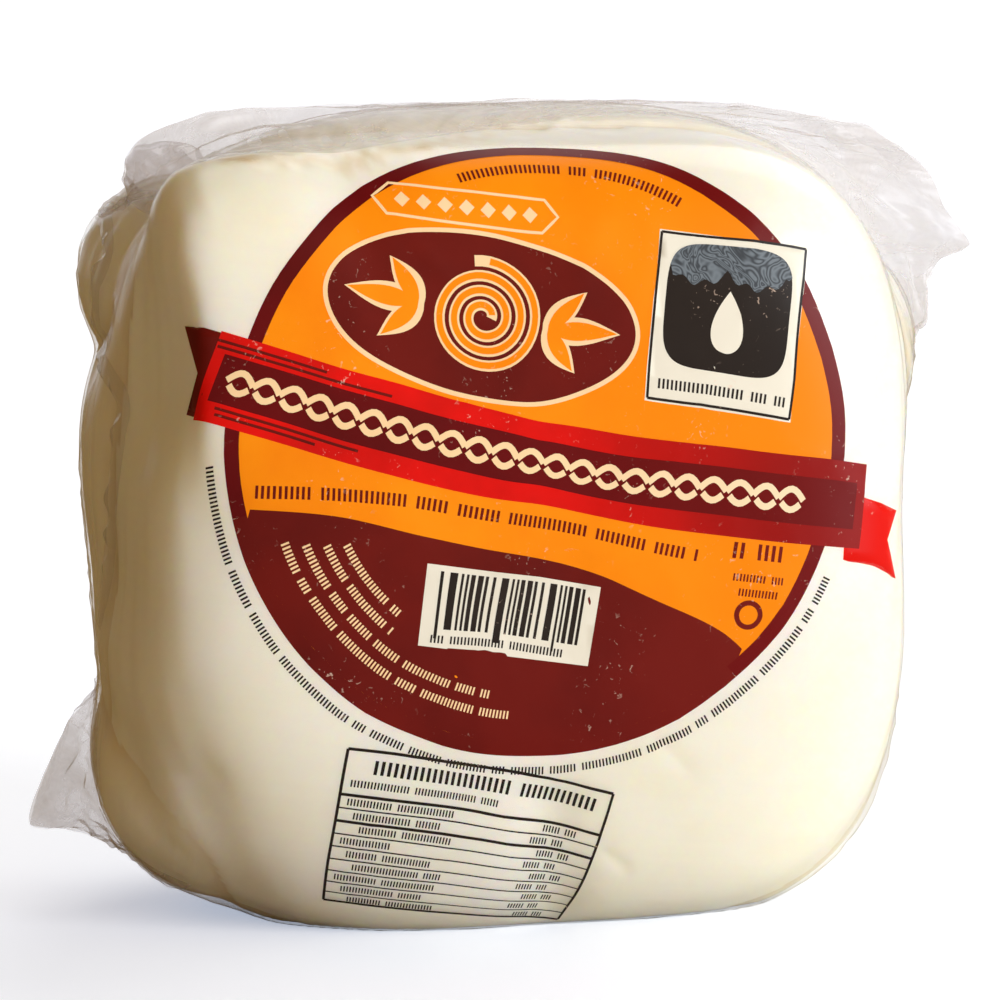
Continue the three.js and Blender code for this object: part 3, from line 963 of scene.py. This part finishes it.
# small print outside the ring, and a ruled table under it; places on the table are shares of its sides
table = {
    "outerRadius": 51.0,
    "outerTurn": (181, 337),
    "outerTall": 1.75,
    "outerGroups": (12, 5, 6, 12, 2, 5, 5, 6, 2, 5, 4, 9, 7, 2, 8, 8,
                    2, 6, 7, 2, 6, 7, 3, 6, 1, 5, 8, 6, 7, 2, 4, 6),
    "corner": (-32.0, -42.8),
    "across": (45.0, -11.2),
    "down": (-6.8, -27.0),
    "line": 0.5,
    "thinLine": 0.25,
    # rows of small print over the ruled ones: left, right, down, height, strokes in each group
    "head": [(0.1, 0.95, 0.095, 3.2, (11, 11)), (0.03, 0.6, 0.2, 1.6, (9, 10, 3, 6))],
    "firstRow": 0.27,
    "rowPitch": 0.082,
    "rows": 9,
    "groups": ((7, 9), (9, 4), (6, 8), (8,), (5, 8), (11, 3)),
}


def drawTable():
    outer = arcPath(table["outerRadius"], *table["outerTurn"])
    strokeRow("black", 1, outer, table["outerTall"], table["outerGroups"])

    def spot(right, below):
        return table["corner"] + np.array(table["across"]) * right + np.array(table["down"]) * below

    def row(left, right, below, tall, groups):
        strokeRow("black", 1, [spot(left, below), spot(right, below)], tall, groups)

    strokeBox("black", 1, [spot(0, 0), spot(1, 0), spot(1, 1), spot(0, 1)], table["line"])
    for words in table["head"]:
        row(*words)
    for number in range(table["rows"]):
        below = table["firstRow"] + number * table["rowPitch"]
        wide = table["line"] if number in (0, 2) else table["thinLine"]
        strokePath("black", 1, [spot(0, below), spot(1, below)], wide)
        row(0.03 + 0.03 * (number % 3), 0.6, below + 0.042, 1.6, table["groups"][number % 6])
        row(0.78 - 0.04 * (number % 2), 0.97, below + 0.042, 1.6, (3, 2))


def buildPrint():
    for draw in (drawDisc, drawPlaque, drawBanner, drawBars, drawPanel, drawMarks, drawTable):
        draw()
    for colour, store in prints.items():
        flat = np.array(store["flat"])
        spread = np.column_stack([flat, np.zeros(len(flat))])
        pulled = np.column_stack([noiseAt(spread, label["waveSize"], seed) for seed in (71, 72)])
        directions = wrapDirections(flat + label["wave"] * pulled)
        depth = -label["layerGap"] * (1 + np.array(store["layer"]))
        point = filmPoint(directions, depth)
        faces = []
        for face in store["faces"]:
            a, b, c = (point[i] for i in face[:3])
            outward = np.cross(b - a, c - a) @ (a - middle)
            faces.append(face if outward > 0 else face[::-1])
        piece = addPiece("print" + colour.capitalize(), point, faces, inkMaterial(colour))
        piece.visible_shadow = False  # real ink touches the film, so no shade creeps in under its edge


buildPrint()
print("print built:", {name: len(store["faces"]) for name, store in prints.items()})

# the ear of the lower end seal that stands off at the left; its entries are those of the top seal
lowerEar = {
    "outline": [(-55, -54), (-62, -52), (-68, -49.7), (-74, -48.7), (-71.5, -41), (-67, -31), (-58, -23)],
    "rootTurns": (-134, -140, -146, -152, -158),
    "frontRoot": (80, 82, 84, 86, 88),
    "backRoot": (112, 112, 110, 108, 106),
    "depth": 11,
    "lean": 3,
    "ripple": (1.0, 2),
    "along": 110,
    "out": 36,
    "pleats": 0.9,
    "facets": 0.6,
    "folds": 0.3,
}


# how the film of both is creased, in mm
sealFilm = {
    "rootSunk": 0.25,
    "edgeOff": 0.7,
    "coarsePleat": 11,
    "finePleat": 4.3,
    "facet": 11,
    "warp": 18,
    "foldPatch": 45,  # folds come and go in areas of this size
    "clear": 0.35,  # gap to the film that clings to the ball
    "ragged": 0.5,
}


# one of the two layers of a seal that stands off the ball, from its root on the ball out to its rim
def layerPoints(spec, root, seed):
    along, out = spec["along"], spec["out"]
    s = np.linspace(0, 1, along)
    turn, back = np.radians(curveThrough(np.column_stack([spec["rootTurns"], root]), along)).T
    directions = np.column_stack([np.cos(turn) * np.sin(back), -np.cos(back), np.sin(turn) * np.sin(back)])
    start = directions * (skinRadius(directions, film["bridge"]) - sealFilm["rootSunk"])[:, None]
    edge = np.column_stack([np.cos(turn), np.zeros(along), np.sin(turn)])
    edge *= (skinRadius(edge, film["bridge"]) + sealFilm["edgeOff"])[:, None]
    sway, swayTimes = spec["ripple"]
    rimY = spec["depth"] + spec["lean"] + sway * np.sin(2 * math.pi * swayTimes * s)
    rim = np.insert(curveThrough(spec["outline"], along), 1, rimY, axis=1)
    side = -1 if root is spec["frontRoot"] else 1
    knee = edge * 0.75 + rim * 0.25
    knee[:, 1] = rimY * 0.6 + spec["depth"] * 0.4 + side * 1.2
    t = np.linspace(0, 1, out)[None, :, None]
    sheet = (1 - t) ** 2 * start[:, None] + 2 * t * (1 - t) * knee[:, None] + t ** 2 * rim[:, None]
    normal = np.cross(np.gradient(sheet, axis=0), np.gradient(sheet, axis=1))
    normal /= np.linalg.norm(normal, axis=2)[:, :, None] + 1e-9
    flat = sheet.reshape(-1, 3)
    sCoord = np.repeat(s * walkedAlong(rim)[-1], out)
    tCoord = np.tile(np.linspace(0, 1, out), along)
    warp = noiseAt(flat, sealFilm["warp"], seed)
    free = smoothStep(tCoord, 0.0, 0.3) * (1 - 0.6 * smoothStep(tCoord, 0.86, 1.0))
    pleats = pleat(sCoord / sealFilm["coarsePleat"] + 1.5 * warp + 0.4 * tCoord) ** 1.4 - 0.45
    fine = sCoord / sealFilm["finePleat"] + 1.2 * noiseAt(flat, 9, seed + 1)
    pleats += 0.5 * (pleat(fine - 0.6 * tCoord) ** 1.8 - 0.35)
    facets = np.abs(noiseAt(flat, sealFilm["facet"], seed + 2)) * 2 - 0.5
    folds = np.sin(2 * math.pi * (2.6 * tCoord + 0.6 * warp))
    folds *= smoothStep(noiseAt(flat, sealFilm["foldPatch"], seed + 3), -0.5, 0.1)
    lift = free * (spec["pleats"] * pleats + spec["facets"] * facets + spec["folds"] * folds)
    flat = flat + normal.reshape(-1, 3) * lift[:, None]
    # nowhere under the film that clings to the ball
    reach = np.linalg.norm(flat, axis=1)
    aim = flat / reach[:, None]
    least = skinRadius(aim, film["bridge"]) + sealFilm["clear"] + 0.25 * pleats
    least[tCoord == 0] = 0
    flat = aim * np.maximum(reach, least)[:, None]
    ragged = sealFilm["ragged"] * noiseAt(flat, 5, seed + 4) * smoothStep(tCoord, 0.9, 1.0)
    flat += np.repeat(unit(rim), out, axis=0) * ragged[:, None]
    return flat + middle


def addLayers(name, spec, layers, material):
    faces = gridFaces(spec["along"], spec["out"])
    faces = np.concatenate([faces + number * len(layers[0]) for number in range(len(layers))])
    addPiece(name, np.concatenate(layers), faces.tolist(), material)


looseFilm = filmMaterial("shrinkFilmLoose")
doubledFilm = filmMaterial("shrinkFilmDoubled")
puckeredFilm = filmMaterial("shrinkFilmPuckered")


def buildSeals():
    for name, spec in (("filmTopSeal", topSeal), ("filmLowerEar", lowerEar)):
        layers = [layerPoints(spec, spec["frontRoot"], 21), layerPoints(spec, spec["backRoot"], 33)]
        addLayers(name, spec, layers, looseFilm)


# the left end of the top seal is folded over into a small pouch of air
pouch = {
    "middle": (-53.4, -5, 56.6),
    "half": (6.2, 5.2, 5.4),
    "square": 3.0,
    "steps": 22,
    "creasePitch": 5.5,
    "creaseHigh": 0.5,
    "dentDeep": 0.9,
}


def buildPouch():
    directions, quads = blownCube(pouch["steps"])
    scaled = np.abs(directions / pouch["half"]) ** pouch["square"]
    point = directions * (scaled.sum(1) ** (-1 / pouch["square"]))[:, None]
    slant = point[:, 0] / pouch["creasePitch"] + 0.25 * point[:, 2]
    creases = pouch["creaseHigh"] * pleat(slant + 0.5 * noiseAt(point, 5, 51))
    point += directions * (creases - pouch["dentDeep"] * np.abs(noiseAt(point, 4.5, 52)))[:, None]
    addPiece("filmPouch", point + pouch["middle"] + middle, quads.tolist(), doubledFilm)


# a crinkled fold of spare film down the left side, where it puckers into the groove
sideFold = {
    "path": [(-60.6, 7.4, 50.6), (-61.1, -2.4, 43.8), (-63.3, 0.5, 32.6), (-60.1, -14.6, 23.8),
             (-60.9, -15.2, 17), (-61.5, -13, 4), (-62, -8, -12)],
    "along": 170,
    "profile": ((-1.6, 0), (-0.9, 0.35), (-0.35, 0.85), (0, 1), (0.35, 0.8), (0.9, 0.3), (1.6, 0)),
    "high": 1.1,
    "scallop": 7.0,
    "sway": 0.9,
}


def buildSideFold():
    path = curveThrough(sideFold["path"], sideFold["along"])
    side = np.cross(unit(np.gradient(path, axis=0)), unit(path))
    walked = walkedAlong(path)
    waves = 0.5 + 0.5 * np.sin(2 * math.pi * (walked / sideFold["scallop"] + 0.8 * noiseAt(path, 11, 61)))
    fade = np.minimum(1, 6 * np.minimum(walked, walked[-1] - walked) / walked[-1])
    high = sideFold["high"] * fade * (0.55 + 0.6 * waves)
    sway = sideFold["sway"] * (waves - 0.5) * fade
    columns = []
    for across, share in sideFold["profile"]:
        aim = unit(path + side * (across + sway * share)[:, None])
        columns.append(filmPoint(aim, -0.1 - high * share))
    point = np.stack(columns, axis=1).reshape(-1, 3)
    addPiece("filmSideFold", point, gridFaces(len(path), len(columns)).tolist(), puckeredFilm)


# the lower end seal, folded up flat against the back
lowerSeal = {
    "halfLength": 55,
    "foldHeight": -46,
    "rise": 13,
    "standOff": 1.6,
    "aimDepth": 0.72,  # share of the ball's half depth at which its rays are aimed
    "along": 150,
    "out": 22,
    "layers": ((41, 0.0), (47, 0.5)),  # seed, how far behind the first layer
}


def buildLowerSeal():
    spec = lowerSeal
    x, t = np.meshgrid(np.linspace(-1, 1, spec["along"]), np.linspace(0, 1, spec["out"]), indexing="ij")
    x, t = x.ravel() * spec["halfLength"], t.ravel()
    z = spec["foldHeight"] + spec["rise"] * t + 0.7 * np.sin(x / 9)
    aim = unit(np.column_stack([x, np.full(len(x), halfDepth * spec["aimDepth"]), z]))
    flat = filmPoint(aim) - middle
    layers = []
    for seed, gap in spec["layers"]:
        folds = pleat(x / 8 + 1.5 * noiseAt(flat, 12, seed)) ** 1.5
        off = gap + (0.4 + spec["standOff"] * t ** 1.5 + (0.4 + 0.8 * t) * folds) * smoothStep(t, 0, 0.12)
        layers.append(flat + aim * off[:, None] + middle)
    addLayers("filmLowerSeal", spec, layers, looseFilm)


buildSeals()
buildPouch()
buildSideFold()
buildLowerSeal()
print("loose film built")

# matte white card under the pack; what it throws back on the object is pale on the right, warm on the left
card = {
    "size": 3,  # m to each side
    "white": "#fbfbfa",
    "lit": "#d6e6ff",
    "litPower": 0.55,
    "leftTone": "#9a845c",
    "rightTone": "#ebeae4",
    "towards": (1, -0.8, 0),
    "blend": 0.12,  # m to each side of the pack
}


def buildStage():
    half = card["size"]
    mesh = bpy.data.meshes.new("floor")
    mesh.from_pydata([(-half, -half, 0), (half, -half, 0), (half, 2 * half, 0), (-half, 2 * half, 0)], [],
                     [(0, 1, 2, 3)])
    material, tree = newMaterial("matteCard")
    seen = addNode(tree, "ShaderNodeLightPath").outputs["Is Camera Ray"]
    where = addNode(tree, "ShaderNodeTexCoord").outputs["Object"]
    forward = addNode(tree, "ShaderNodeVectorMath", {
        0: where, 1: card["towards"]}, operation="DOT_PRODUCT").outputs["Value"]
    share = addNode(tree, "ShaderNodeMapRange", {
        "Value": forward, "From Min": -card["blend"], "From Max": card["blend"]})
    tone = addNode(tree, "ShaderNodeMix", {
        0: share, 6: toLinear(card["leftTone"]), 7: toLinear(card["rightTone"])}, data_type="RGBA").outputs[2]
    thrown = addNode(tree, "ShaderNodeBsdfDiffuse", {"Color": tone})
    white = addNode(tree, "ShaderNodeBsdfDiffuse", {"Color": toLinear(card["white"])})
    glow = addNode(tree, "ShaderNodeEmission", {"Color": toLinear(card["lit"]), "Strength": card["litPower"]})
    bright = addNode(tree, "ShaderNodeAddShader", {0: white, 1: glow})
    surface = addNode(tree, "ShaderNodeMixShader", {0: seen, 1: thrown, 2: bright})
    addNode(tree, "ShaderNodeOutputMaterial", {"Surface": surface})
    mesh.materials.append(material)
    floor = bpy.data.objects.new("floor", mesh)
    bpy.context.scene.collection.objects.link(floor)


# daylight from a large window at the front right of a dim warm room: direction, power, degrees wide, colour
lamps = {
    "windowLight": ((0.72, -0.66, 0.16), 3.05, 24, "#f3f8ff"),
    "backLamp": ((0.5, 0.4, 0.75), 1.15, 50, "#ffffff"),  # meets only the top and the loose film
    "wallLight": ((0.25, -0.93, 0.12), 0.3, 60, "#ffc060"),  # what the wall beside the window throws back
}
room = {
    "left": "#876a40",
    "right": "#aaa188",
    "blend": 0.7,
    "paper": "#fdfdfd",
    # the white card curves up behind the pack: it shows in the film's gloss but is too far off to light it
    "curve": "#f2f1f4",
    "curveFrom": (0.7, 0.92),
}


def buildLight():
    for name, (towards, power, across, colour) in lamps.items():
        sun = bpy.data.lights.new(name, "SUN")
        sun.energy = power
        sun.angle = math.radians(across)
        sun.color = toLinear(colour)[:3]
        lamp = bpy.data.objects.new(name, sun)
        lamp.rotation_euler = Vector(towards).to_track_quat("Z", "Y").to_euler()
        bpy.context.scene.collection.objects.link(lamp)
    world = bpy.data.worlds.new("paleRoom")
    world.use_nodes = True
    tree = world.node_tree
    tree.nodes.clear()
    way = addNode(tree, "ShaderNodeTexCoord").outputs["Generated"]
    rightward, backward, _ = addNode(tree, "ShaderNodeSeparateXYZ", {0: way}).outputs
    rays = addNode(tree, "ShaderNodeLightPath").outputs
    share = addNode(tree, "ShaderNodeMapRange", {
        "Value": rightward, "From Min": -room["blend"], "From Max": room["blend"]},
        interpolation_type="SMOOTHSTEP")
    tone = addNode(tree, "ShaderNodeMix", {
        0: share, 6: toLinear(room["left"]), 7: toLinear(room["right"])}, data_type="RGBA").outputs[2]
    low, high = room["curveFrom"]
    behind = addNode(tree, "ShaderNodeMapRange", {
        "Value": backward, "From Min": low, "From Max": high}, interpolation_type="SMOOTHSTEP")
    mirrored = addNode(tree, "ShaderNodeMath", {0: behind, 1: rays["Is Glossy Ray"]}, operation="MULTIPLY")
    tone = addNode(tree, "ShaderNodeMix", {
        0: mirrored, 6: tone, 7: toLinear(room["curve"])}, data_type="RGBA").outputs[2]
    air = addNode(tree, "ShaderNodeBackground", {"Color": tone})
    paper = addNode(tree, "ShaderNodeBackground", {"Color": toLinear(room["paper"])})
    surface = addNode(tree, "ShaderNodeMixShader", {0: rays["Is Camera Ray"], 1: air, 2: paper})
    addNode(tree, "ShaderNodeOutputWorld", {"Surface": surface})
    bpy.context.scene.world = world


shot = {
    "azimuth": -12,
    "elevation": 9,
    "distance": 0.75,
    "target": (-0.001, 0, 0.0647),
    "pixelsPerRadian": 4687,  # in a picture 1000 pixels wide
    "sensor": 36,
}


def buildCamera():
    azimuth, elevation = math.radians(shot["azimuth"]), math.radians(shot["elevation"])
    back = Vector((math.sin(azimuth) * math.cos(elevation), -math.cos(azimuth) * math.cos(elevation),
                   math.sin(elevation)))
    camera = bpy.data.cameras.new("camera")
    camera.sensor_width = shot["sensor"]
    camera.lens = shot["sensor"] * shot["pixelsPerRadian"] / 1000
    camera.clip_start = 0.05
    rig = bpy.data.objects.new("camera", camera)
    rig.location = Vector(shot["target"]) + back * shot["distance"]
    rig.rotation_euler = (-back).to_track_quat("-Z", "Y").to_euler()
    bpy.context.scene.collection.objects.link(rig)
    bpy.context.scene.camera = rig


buildStage()
buildLight()
buildCamera()
bpy.context.scene.view_settings.view_transform = "Standard"
bpy.context.scene.cycles.transparent_max_bounces = 32
print("stage, light and camera set")
